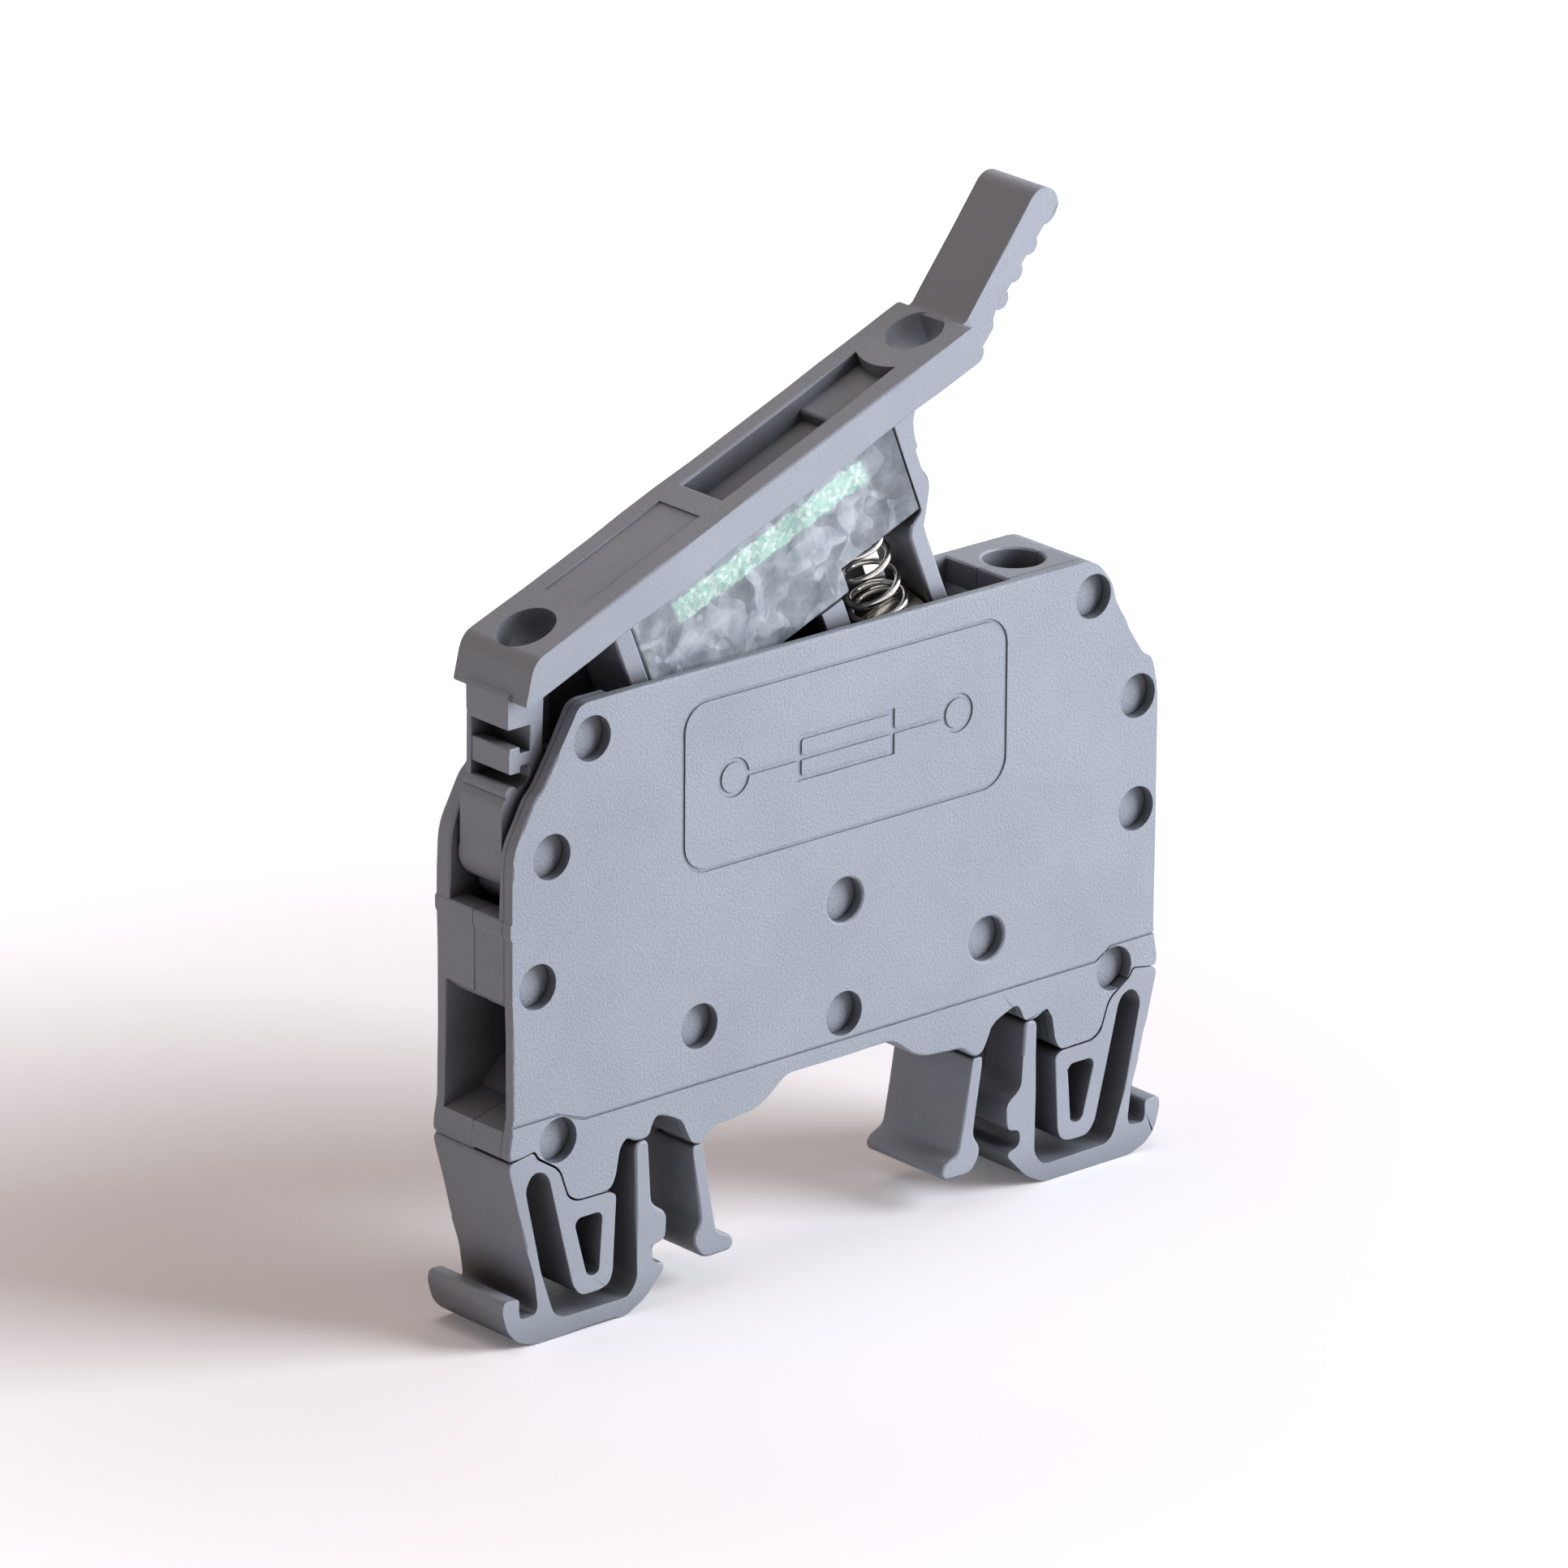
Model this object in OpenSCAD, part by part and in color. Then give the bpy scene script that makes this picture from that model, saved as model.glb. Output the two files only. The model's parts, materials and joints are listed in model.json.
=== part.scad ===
// Fuse terminal block for a 35 mm rail, with a swinging fuse lever.
// X runs along the wire direction, Y along the rail, Z up; the middle of the rail notch is X = 0.
// The lever and all that rides on it are drawn closed, then turned open about the pivot.

/* [Block] */
// Thickness of the block along the rail, mm
block_thickness = 8.4; // [8.4:0.1:8.8]
// Half length of the body between its end faces, mm
half_length = 30.6; // [30.4:0.1:30.8]
// Height of the flat top edge above the foot, mm
top_height = 47.4; // [47.2:0.1:47.5]
// Radius of the round recesses in the side face, mm
recess_radius = 1.7; // [1.5:0.05:1.7]
// Depth of the round recesses, mm
recess_depth = 1.0; // [0.6:0.1:1.0]

/* [Wire clamps] */
// Distance of each clamp screw from the middle of the mechanism, mm
screw_offset = 19.6; // [19.5:0.05:19.7]
// Radius of the screwdriver bores, mm
driver_bore_radius = 2.3; // [2.25:0.01:2.35]
// Radius of the screw thread, mm
thread_radius = 1.45; // [1.3:0.01:1.45]
// Clearance between the screw and its threaded collar, mm
thread_clearance = 0.05; // [0.02:0.01:0.08]

/* [Lever] */
// How far the lever stands open, degrees
open_angle = 21.7; // [18:0.1:26]
// Radius of the moulded pivot pins, mm
pin_radius = 1.0; // [0.8:0.05:1.2]
// Clearance between the pins and their bores, mm
pin_clearance = 0.05; // [0.02:0.01:0.08]
// Width of the top bar along the rail, mm
bar_width = 8.0; // [7.6:0.1:8.2]

/* [Fuse] */
// Length of the fuse over its caps, mm
fuse_length = 20; // [19.8:0.1:20.2]
// Radius of the fuse caps, mm
cap_radius = 2.6; // [2.5:0.02:2.62]
// Radius of the glass tube, mm
glass_radius = 2.3; // [2.2:0.02:2.34]

/* [Hidden] */
$fn = 48;
half = block_thickness / 2;
// Width of the gap between the front shell and the feet.
seam_gap = 0.12;
// How far the rear half of a foot runs up into the body.
foot_overlap = 0.3;
chamber_half = half - 0.85;
slot_half = half - 1.45;
mid_x = 0.4;
groove_depth = 0.12;
past = 0.5;

pivot_x = -26.3;
pivot_z = 33.7;
lever_shift = 0.38;
ledge_height = 32.4;
seat_floor = 31.4;
tower_top = 42;

rail_notch_top = 4.95;
busbar_low = 25.2;
busbar_high = 26.2;
busbar_half = 2;
chamber_half_length = 3.8;
chamber_floor = 18.1;
chamber_top = 33.2;
cage_rest_low = 18.4;
cage_floor = 1.2;
cage_window_top = 26.6;
cage_top = 28.4;
cage_half = chamber_half - 0.3;
screw_head_low = 33.4;
screw_head_high = 36.2;

fuse_x = 1.75;
fuse_z = 30.4;
cap_length = 5.2;
cap_end = 0.4;
clip_offset = (fuse_length - cap_length) / 2;
fuse_end_gap = 0.15;
bay_end = fuse_x + fuse_length / 2 + fuse_end_gap + 2.45;
clip_length = 4;
clip_gap = 0.05;
clip_sheet = 0.4;

bar_low = 48;
bar_high = 50.85;
bar_end = 21.95;
cover_half = 2.3;
cover_wall = 0.55;
cover_low = 37.6;
cover_step_x = 5.7;
cover_step_z = 39.6;
board_low = 44.4;
board_thick = 1.0;
spring_wire = 0.2;
spring_radius = 2.18;
neck_half = 2.3;
hub_half = 2.45;
arm_half = 2.4;
plate_low = 2.5;
plate_high = 3.05;
leg_low_x = 2.7;
leg_high_x = 4.8;

peg_radius = 0.9;
peg_clearance = 0.05;
peg_length = 2;
pegs = [[24.1, 44.6], [28.6, 35.95], [-26.5, 29.3], [-13.3, 20.5], [14.1, 20.5], [0.4, 18.1],
    [-26.4, 15.1], [26.7, 15.15]];
recesses = [[-23.3, 44.6], [24.1, 44.6], [-27.0, 36.6], [28.6, 35.95], [-28.3, 27.15], [28.6, 27.2],
    [-26.4, 15.1], [26.7, 15.15], [-13.3, 20.5], [14.1, 20.5], [0.4, 18.1], [0.4, 26.8]];

// Half of the stepped seam under the body, as distance from the middle and height.
seam = [[5.0, 14.8], [6.0, 14.1], [7.0, 13.3], [8.2, 12.8], [11.9, 12.5], [12.5, 11.95], [13.2, 11.5],
    [13.9, 11.7], [14.35, 12.5], [14.9, 13.8], [16.7, 14.5], [17.2, 14.6], [17.6, 14.1], [17.9, 13.2],
    [19.1, 13.1], [20.0, 13.65], [20.6, 13.0], [21.0, 10.9], [21.5, 10.05], [24.6, 10.1], [25.4, 10.6],
    [26.1, 12.6], [26.5, 13.1], [28.2, 14.2], [28.5, 14.8], [30.9, 14.4]];
seam_foot_from = 18;

// The upper outline of the body from its right end over the top to its left end.
crown = [[30.95, 15.3], [half_length, 17], [half_length, 35.5], [30.45, 36.9], [30.0, 38.7], [29.05, 39.2],
    [26.3, 43.9], [26.0, 45.2], [25.2, 46.3], [24.4, 47.1], [23.47, top_height], [-23.9, top_height],
    [-24.6, 47.1], [-25.1, 46.2], [-27.9, 41.7], [-28.6, 41.1], [-30.25, 38.05], [-30.5, 37.1],
    [-half_length, 36.2], [-half_length, ledge_height], [-half_length - 0.15, ledge_height - 0.1],
    [-half_length - 0.15, ledge_height - 1.1], [-half_length, ledge_height - 1.3], [-half_length, 17],
    [-30.95, 15.3]];

// One rail foot, mirrored for the other end: inner leg, slot, hanging block, outer band, nib and toe.
foot_top = [[17.9, 13.2], [19.1, 13.1]];
foot_inside = [[19.05, 2.5], [19.9, 1.4], [26.1, 1.45], [26.85, 2.0], [28.0, 5.4],
    [29.4, 12.0], [28.9, 12.9], [28.3, 13.15], [27.6, 12.9], [27.2, 12.3], [25.05, 3.6], [24.3, 2.68],
    [22.5, 2.68], [21.7, 2.95], [21.35, 3.7], [21.02, 9.6]];
foot_outside = [[29.45, 7.8], [28.6, 5.2], [28.3, 2.9], [28.5, 2.35], [29.9, 2.25], [30.05, 3.0],
    [29.95, 3.9], [31.4, 4.0], [31.55, 3.2], [31.1, 1.6], [30.2, 0.6], [28.6, 0], [20.1, 0], [18.3, 0.9],
    [16.45, 2.85], [16.55, 3.2], [17.6, 3.5], [17.65, 4.75], [16.35, rail_notch_top], [16.25, 7.0],
    [17.7, 8.0]];
foot_window = [[22.3, 8.3], [22.6, 8.68], [24.5, 8.68], [24.85, 8.2], [23.78, 4.2], [23.3, 3.9], [22.6, 4.1]];
inner_leg = [[13.0, 11.42], [13.85, 11.42], [13.85, 10.9], [13.05, 5.4], [13.75, 4.4], [13.6, 3.5],
    [13.0, 2.7], [12.35, 2.5], [10.3, 2.55], [9.9, 3.05], [10.2, 3.7], [11.55, 4.3], [12.9, 11.2]];

// A flat shape drawn in X and Z, given its thickness along Y.
module slab(y_low, y_high)
    translate([0, y_high, 0])
        rotate([90, 0, 0])
            linear_extrude(height = y_high - y_low)
                children();

module box(x_low, x_high, y_low, y_high, z_low, z_high)
    translate([x_low, y_low, z_low])
        cube([x_high - x_low, y_high - y_low, z_high - z_low]);

// A round bar along Y.
module across(x, z, r, y_low, y_high)
    translate([x, y_high, z])
        rotate([90, 0, 0])
            cylinder(h = y_high - y_low, r = r);

// A round bar along Z.
module upright(x, r, z_low, z_high)
    translate([x, 0, z_low])
        cylinder(h = z_high - z_low, r = r);

// A round bar along X on the fuse axis.
module along(x_low, x_high, r)
    translate([x_low, 0, fuse_z])
        rotate([0, 90, 0])
            cylinder(h = x_high - x_low, r = r);

module rounded(x_low, x_high, z_low, z_high, r) {
    translate([x_low + r, z_low])
        square([x_high - x_low - 2 * r, z_high - z_low]);
    translate([x_low, z_low + r])
        square([x_high - x_low, z_high - z_low - 2 * r]);
    for (x = [x_low + r, x_high - r], z = [z_low + r, z_high - r])
        translate([x, z])
            circle(r = r);
}

function flip(points) = [for (p = points) [-p[0], p[1]]];
function backwards(points) = [for (i = [len(points) - 1 : -1 : 0]) points[i]];
function moved(points, step) = [for (p = points) p + step];

// The outline with each corner turned into a short curve that starts up to r before it.
function soften(points, r) =
    [for (i = [0 : len(points) - 1])
        let (count = len(points), p = points[i], a = points[(i + count - 1) % count] - p,
            b = points[(i + 1) % count] - p, cut = min(r, 0.45 * norm(a), 0.45 * norm(b)),
            start = p + a * cut / norm(a), end = p + b * cut / norm(b))
            for (t = [0 : 1 / 3 : 1])
                start * (1 - t) * (1 - t) + p * 2 * t * (1 - t) + end * t * t];

module body_outline()
    polygon(soften(concat(seam, crown, backwards(flip(seam))), 0.6));

// One foot, with the edges that meet the body moved by a step.
module foot_outline(step)
    difference() {
        polygon(soften(concat(moved(foot_top, step), foot_inside,
            moved([for (i = [seam_foot_from : len(seam) - 1]) seam[i]], step), foot_outside), 0.55));
        polygon(soften(foot_window, 0.5));
    }

module feet_outline(step)
    for (side = [0, 1])
        mirror([side, 0]) {
            foot_outline(step);
            polygon(soften(inner_leg, 0.5));
        }

// The open space around the fuse, from the busbars to the top edge.
module bay()
    slab(-chamber_half, chamber_half)
        polygon([[-14.9, busbar_low], [bay_end, busbar_low], [bay_end, 38.6], [bay_end + 1.35, 40.6],
            [bay_end + 1.35, 44.4], [bay_end + 2.15, 45.4], [bay_end + 2.15, top_height + past], [-21.3, top_height + past], [-21.3, tower_top],
            [-17.6, tower_top], [-16.4, 40.8], [-15.4, 39.3], [-14.9, 37.9]]);

// The slot between the two cheeks that hold the lever pivot.
module neck_slot()
    slab(-slot_half, slot_half)
        polygon([[-half_length - 1, ledge_height], [-28.9, ledge_height], [-28.2, seat_floor],
            [-24.6, seat_floor], [-24.0, 32.2], [-23.9, 34], [-22.3, 36.5],
            [-22.3, tower_top], [-21.2, tower_top], [-21.2, top_height + past],
            [-half_length - 1, top_height + past]]);

module pivot_bores()
    for (side = [-1, 1])
        across(pivot_x, pivot_z, pin_radius + pin_clearance, side > 0 ? slot_half - 0.1 : -half + 0.35,
            side > 0 ? half - 0.35 : -slot_half + 0.1);

// Wire funnel, clamp chamber, screwdriver bore and busbar channel of one end.
module clamp_space(side) {
    screw_x = mid_x + side * screw_offset;
    mirror([side > 0 ? 1 : 0, 0, 0])
        slab(-chamber_half, chamber_half)
            polygon([[-half_length - 1, 16.5], [-half_length, 16.5], [-28.6, 17.0], [-27.2, 17.3],
                [-25.2, 19.3], [-22.5, 19.3], [-22.5, busbar_low], [-29.3, busbar_low], [-30.3, 26.2],
                [-half_length - 1, 26.2]]);
    box(screw_x - chamber_half_length, screw_x + chamber_half_length, -chamber_half, chamber_half,
        chamber_floor, chamber_top);
    upright(screw_x, driver_bore_radius, chamber_top - 0.1, side > 0 ? top_height + past : tower_top + 0.1);
    box(side > 0 ? bay_end - 0.05 : screw_x, side > 0 ? screw_x : -14.8, -busbar_half, busbar_half,
        busbar_low, busbar_high);
}

// Sealed pockets that keep the moulding walls even.
module core_pockets()
    for (side = [-1, 1])
        box(mid_x + (side > 0 ? 2.7 : -10.8), mid_x + (side > 0 ? 10.8 : -2.7), -chamber_half, chamber_half,
            16.4, 24.2);

module hollows() {
    bay();
    neck_slot();
    pivot_bores();
    clamp_space(-1);
    clamp_space(1);
    core_pockets();
}

module recess_bosses()
    intersection() {
        across(0.4, 26.8, recess_radius + 0.4, -half, -half + recess_depth + 0.45);
        box(-3, 4, -half, 0, busbar_low - 1, 29.5);
    }

module round_recesses()
    for (p = recesses)
        across(p[0], p[1], recess_radius, -half - 1, -half + recess_depth);

// The engraved frame with a plain circuit symbol: two terminals with a fuse between them.
module panel_lines()
    slab(-half - 1, -half + groove_depth) {
        difference() {
            rounded(mid_x - 15.4, mid_x + 15.4, 32.1, 45.2, 2.3);
            rounded(mid_x - 15.1, mid_x + 15.1, 32.4, 44.9, 2.0);
        }
        for (side = [-1, 1]) {
            translate([mid_x + side * 10.6, 38.65])
                difference() {
                    circle(r = 1.5);
                    circle(r = 1.1);
                }
            translate([mid_x + (side > 0 ? 4.6 : -9.3), 38.45])
                square([4.7, 0.4]);
        }
        difference() {
            translate([mid_x - 4.6, 36.9])
                square([9.2, 3.5]);
            translate([mid_x - 4.2, 37.3])
                square([8.4, 2.7]);
        }
        translate([mid_x - 4.2, 38.45])
            square([8.4, 0.4]);
    }

// The line where the side face steps above the feet.
module waist_line()
    slab(-half - 1, -half + groove_depth)
        polygon([[-31.5, 16.95], [-26.6, 16.95], [-24.1, 16.05], [24.9, 16.05], [26.4, 16.95], [31.5, 16.95],
            [31.5, 17.15], [26.3, 17.15], [24.8, 16.25], [-24.0, 16.25], [-26.5, 17.15], [-31.5, 17.15]]);

module front_shell()
    color([0.62, 0.65, 0.7]) {
        difference() {
            union() {
                difference() {
                    slab(-half, 0)
                        body_outline();
                    hollows();
                }
                recess_bosses();
            }
            round_recesses();
            panel_lines();
            waist_line();
        }
        for (p = pegs)
            across(p[0], p[1], peg_radius, -0.1, peg_length);
    }

module rear_shell()
    color([0.6, 0.63, 0.68])
        difference() {
            union() {
                slab(0, half)
                    body_outline();
                slab(-half, half)
                    feet_outline([seam_gap, -seam_gap]);
                slab(0, half)
                    feet_outline([-0.1, foot_overlap]);
                for (side = [-1, 1])
                    box(side * 13.4 - 0.45, side * 13.4 + 0.45, 0, half, 11, 12.6);
            }
            hollows();
            for (p = pegs)
                across(p[0], p[1], peg_radius + peg_clearance, -0.1, peg_length + 0.2);
        }

// Turns what is drawn closed to its open position. The shift brings its holes over the screws.
module riding()
    translate([pivot_x, 0, pivot_z])
        rotate([0, -open_angle, 0])
            translate([lever_shift - pivot_x, 0, -pivot_z])
                children();

module bar() {
    half_bar = bar_width / 2;
    difference() {
        slab(-half_bar, half_bar)
            polygon(soften([[-24.15, bar_low], [21.4, bar_low], [bar_end, bar_low + 0.5],
                [bar_end, bar_high - 0.4], [bar_end - 0.4, bar_high], [-21.7, bar_high],
                [-22.45, bar_high - 0.45]], 0.5));
        for (x = [-19.4, 19.4])
            upright(x, 2.25, bar_low - 1, bar_high + 1);
        // Marking field.
        box(-15.5, -4.1, -2.1, 2.3, bar_high - 0.15, bar_high + 1);
        // Pocket, with a shallow floor at its right end.
        difference() {
            box(-1.9, 15.6, -2.1, 2.3, bar_high - 1.1, bar_high + 1);
            upright(19.4, 4.4, bar_low, bar_high + 1);
        }
        box(-1.9, 9.5, -2.1, 2.3, bar_high - 2, bar_high + 1);
    }
}

// The sloped grip behind the bar's end, rippled on its underside and rounded at its tip.
module grip() {
    slope = 30.4;
    step = 2.24;
    slab(-2.95, 2.95) {
        polygon([[21.2, 48.2], [21.2, bar_high - 0.1], [bar_end + 0.05, bar_high], [30.65, 56.0], [31.6, 53.8],
            [24.61, 49.96], [23.4, 48.55], [22.5, 48.1]]);
        translate([31.35, 54.75])
            circle(r = 1.42);
        for (i = [0 : 3])
            translate([23.35 + i * step * cos(slope), 49.5 + i * step * sin(slope)])
                circle(r = 0.85);
    }
}

// The arm beyond the clear module, with its guiding hook, and its long springy leg.
module right_arm() {
    leg_x = fuse_x + fuse_length / 2 + fuse_end_gap;
    slab(-arm_half, arm_half)
        polygon(soften([[13.6, bar_low + 0.2], [15.7, bar_low + 0.2], [15.8, 47.6], [15.75, 46.9], [15.3, 46.2],
            [15.05, 45.2], [15.0, 44.2], [14.75, 44.1], [14.75, 42.4], [15.0, 41.8], [14.95, 40.8],
            [14.0, 39.2], [leg_x + 1.55, 38.4], [leg_x + 1.5, 28.4], [leg_x + 1, 27.8], [leg_x, 27.8],
            [leg_x, 38.2], [12.3, 38.9], [13.6, 39.5]], 0.25));
}

module left_arm()
    box(-14.4, -12.7, -arm_half, arm_half, 33.4, bar_low + 0.2);

// The thin wall behind the springs that ties the arms to the fuse saddle.
module back_plate() {
    slab(plate_low, plate_high)
        polygon([[-14.4, 33.4], [10.6, 33.4], [10.6, 39.4], [-11.6, 39.4], [-14.4, 36.6]]);
    box(10.5, 13.5, plate_low, plate_high, 38.6, 39.4);
    box(-14.4, -12.7, arm_half - 0.1, plate_high, 33.4, 36.5);
    box(12.4, 13.5, arm_half - 0.1, plate_high, 38.6, 39.4);
}

module saddle()
    difference() {
        union() {
            along(leg_low_x, leg_high_x, plate_high);
            box(leg_low_x, leg_high_x, -arm_half, plate_high, fuse_z, cover_low - 0.05);
        }
        along(leg_low_x - 1, leg_high_x + 1, glass_radius + 0.02);
        box(leg_low_x - 1, leg_high_x + 1, -4, 4, fuse_z - 4, fuse_z - 1.5);
    }

// Neck, ribs and hub, drawn as they stand in the open position. A web closes the ribs at the back.
module neck_standing() {
    slab(-neck_half, neck_half) {
        polygon(soften([[-27.35, 48.7], [-27.4, 42.0], [-28.6, 41.5], [-30.0, 40.7], [-30.0, 35.9],
            [-27.8, 34.0], [-25.0, 34.2], [-25.0, 36.5], [-25.9, 40.5], [-26.25, 44.5], [-26.1, 49.3]], 0.5));
        polygon(soften([[-29.45, 46.0], [-29.45, 48.6], [-27.2, 49.2], [-27.2, 46.0]], 0.2));
        polygon(soften([[-29.3, 42.7], [-29.3, 44.6], [-28.3, 44.6], [-28.3, 44.1], [-27.2, 44.1],
            [-27.2, 43.2], [-28.3, 43.2], [-28.3, 42.7]], 0.15));
        translate([-29.1, 41.25])
            circle(r = 0.55);
    }
    slab(neck_half - 0.5, neck_half)
        polygon([[-29.4, 41.5], [-29.4, 46.2], [-27.3, 46.2], [-27.3, 41.5]]);
    across(-27.8, 35.9, 2.2, -hub_half, hub_half);
    across(pivot_x, pivot_z, 1.9, -hub_half, hub_half);
    across(pivot_x, pivot_z, pin_radius, -half + 0.5, half - 0.5);
}

module lever()
    color([0.58, 0.6, 0.64]) {
        riding() {
            bar();
            grip();
            right_arm();
            left_arm();
            back_plate();
            saddle();
        }
        neck_standing();
    }

module indicator_cover()
    color([0.85, 0.9, 0.95, 0.5])
        riding()
            difference() {
                slab(-cover_half, cover_half)
                    polygon([[-12.6, cover_low], [cover_step_x, cover_low], [cover_step_x, cover_step_z],
                        [13.5, cover_step_z], [13.5, bar_low], [-12.6, bar_low]]);
                slab(-cover_half + cover_wall, cover_half - cover_wall) {
                    polygon([[-11.1, cover_low + cover_wall], [cover_step_x - cover_wall, cover_low + cover_wall],
                        [cover_step_x - cover_wall, cover_step_z + cover_wall],
                        [9.4, cover_step_z + cover_wall], [9.4, board_low + 0.1], [-11.1, board_low + 0.1]]);
                    translate([-12.05, board_low])
                        square([25, bar_low - board_low - 0.3]);
                    translate([10.6, cover_step_z + cover_wall])
                        square([2.35, 6]);
                }
                for (x = [fuse_x - clip_offset])
                    upright(x, 0.4, cover_low - 1, cover_low + 1);
                upright(fuse_x + clip_offset, 0.4, cover_step_z - 1, board_low + 1);
            }

module indicator_board()
    color([0.45, 0.75, 0.6])
        riding()
            box(-12, 10.1, -1.7, 1.7, board_low, board_low + board_thick);

module indicator_led()
    color([0.9, 0.9, 0.85])
        riding() {
            upright(3.2, 1.0, board_low + board_thick, board_low + board_thick + 0.9);
            translate([3.2, 0, board_low + board_thick + 0.9])
                intersection() {
                    sphere(r = 0.8, $fn = 32);
                    upright(0, 1, 0, 1);
                }
        }

module indicator_resistors()
    color([0.2, 0.2, 0.22])
        riding()
            for (x = [-9.6, -5.4, -1.2])
                box(x, x + 2, -0.62, 0.62, board_low + board_thick, board_low + board_thick + 0.6);

module indicator_contacts()
    color([0.8, 0.75, 0.6])
        riding() {
            upright(fuse_x - clip_offset, 0.4, cover_low - 0.9, board_low);
            upright(fuse_x + clip_offset, 0.4, cover_step_z - 0.9, board_low);
        }

// A wound wire from z_low up to z_high, as a strip of rings.
module wound_wire(x, z_low, z_high, turns) {
    steps = 24;
    sides = 8;
    count = floor(turns * steps);
    rise = (z_high - z_low - 2 * spring_wire) / count;
    rings = [for (i = [0 : count])
        [for (k = [0 : sides - 1])
            let (turn = i * 360 / steps, around = k * 360 / sides, r = spring_radius + spring_wire * cos(around))
            [x + r * cos(turn), r * sin(turn), z_low + spring_wire + i * rise + spring_wire * sin(around)]]];
    points = [for (ring = rings, p = ring) p];
    walls = [for (i = [0 : count - 1], k = [0 : sides - 1])
        let (a = i * sides + k, b = i * sides + (k + 1) % sides)
        [a, a + sides, b + sides, b]];
    ends = [[for (k = [0 : sides - 1]) k], [for (k = [sides - 1 : -1 : 0]) count * sides + k]];
    polyhedron(points = points, faces = concat(walls, ends), convexity = 10);
}

module contact_spring_left()
    color([0.8, 0.8, 0.8])
        riding()
            wound_wire(fuse_x - clip_offset, fuse_z + cap_radius, cover_low, 3.2);

module contact_spring_right()
    color([0.8, 0.8, 0.8])
        riding()
            wound_wire(fuse_x + clip_offset, fuse_z + cap_radius, cover_step_z, 4.1);

module fuse_glass()
    color([0.8, 0.9, 0.95, 0.5])
        riding()
            difference() {
                along(fuse_x - fuse_length / 2 + cap_end, fuse_x + fuse_length / 2 - cap_end, glass_radius);
                along(fuse_x - fuse_length / 2, fuse_x + fuse_length / 2, glass_radius - 0.4);
            }

module fuse_cap(side)
    color([0.78, 0.78, 0.76])
        riding()
            difference() {
                along(fuse_x + (side > 0 ? fuse_length / 2 - cap_length : -fuse_length / 2),
                    fuse_x + (side > 0 ? fuse_length / 2 : -fuse_length / 2 + cap_length), cap_radius);
                along(fuse_x + (side > 0 ? fuse_length / 2 - cap_length - 1 : -fuse_length / 2 + cap_end),
                    fuse_x + (side > 0 ? fuse_length / 2 - cap_end : -fuse_length / 2 + cap_length + 1),
                    glass_radius);
            }

module fuse_cap_left()
    fuse_cap(-1);

module fuse_cap_right()
    fuse_cap(1);

module fuse_wire()
    color([0.75, 0.75, 0.7])
        riding()
            along(fuse_x - fuse_length / 2 + cap_end, fuse_x + fuse_length / 2 - cap_end, 0.1);

// A flat bar from the wire clamp to under the jaw.
module busbar(side)
    color([0.75, 0.73, 0.68])
        box(side > 0 ? fuse_x + clip_offset - 2.5 : mid_x - screw_offset - 3.6,
            side > 0 ? mid_x + screw_offset + 3.6 : fuse_x - clip_offset + 2.5,
            -busbar_half, busbar_half, busbar_low, busbar_high);

module busbar_left()
    busbar(-1);

module busbar_right()
    busbar(1);

// A spring jaw: base on the busbar, two walls and flared lips.
module fuse_clip(side)
    color([0.8, 0.68, 0.45])
        translate([fuse_x + side * clip_offset + clip_length / 2, 0, 0])
            rotate([90, 0, -90])
                linear_extrude(height = clip_length) {
                    inside = cap_radius + clip_gap;
                    outside = inside + clip_sheet;
                    lip = [[outside, busbar_high], [outside, fuse_z + 2.2], [outside + 0.1, fuse_z + 2.6],
                        [inside + 0.1, fuse_z + 2.6], [inside, fuse_z + 2.2],
                        [inside, busbar_high + clip_sheet]];
                    polygon(concat(lip, backwards(flip(lip))));
                }

module fuse_clip_left()
    fuse_clip(-1);

module fuse_clip_right()
    fuse_clip(1);

// The lifting sleeve: floor, two walls and the threaded collar.
module clamp_cage(side)
    color([0.7, 0.72, 0.74]) {
        x = mid_x + side * screw_offset;
        difference() {
            box(x - 3.4, x + 3.4, -cage_half, cage_half, cage_rest_low, cage_top);
            box(x - 4, x + 4, -cage_half + 0.7, cage_half - 0.7, cage_rest_low + cage_floor, cage_window_top);
            upright(x, thread_radius + thread_clearance, cage_window_top - 1, cage_top + 1);
        }
    }

module clamp_cage_left()
    clamp_cage(-1);

module clamp_cage_right()
    clamp_cage(1);

module clamp_screw(side)
    color([0.72, 0.72, 0.74]) {
        x = mid_x + side * screw_offset;
        difference() {
            union() {
                upright(x, thread_radius, busbar_high + 0.1, screw_head_low + 0.1);
                upright(x, 2.0, screw_head_low, screw_head_high);
            }
            box(x - 3, x + 3, -0.35, 0.35, screw_head_high - 1.1, screw_head_high + 1);
            box(x - 0.35, x + 0.35, -1.3, 1.3, screw_head_high - 1.1, screw_head_high + 1);
        }
    }

module clamp_screw_left()
    clamp_screw(-1);

module clamp_screw_right()
    clamp_screw(1);

rear_shell();
front_shell();
lever();
indicator_cover();
indicator_board();
indicator_led();
indicator_resistors();
indicator_contacts();
contact_spring_left();
contact_spring_right();
fuse_glass();
fuse_cap_left();
fuse_cap_right();
fuse_wire();
busbar_left();
busbar_right();
fuse_clip_left();
fuse_clip_right();
clamp_cage_left();
clamp_cage_right();
clamp_screw_left();
clamp_screw_right();
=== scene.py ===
# %% [markdown]
# # A fuse terminal block
# This block clips onto a 35 mm rail in a control cabinet. Two wires enter at its ends, and a fuse in the
# hinged lever joins them. Here the lever stands partly open, as somebody leaves it while changing the fuse.
# The lesson dresses a finished CAD model: round its edges, wind its springs, and give each piece the surface
# that its real material has.

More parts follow.
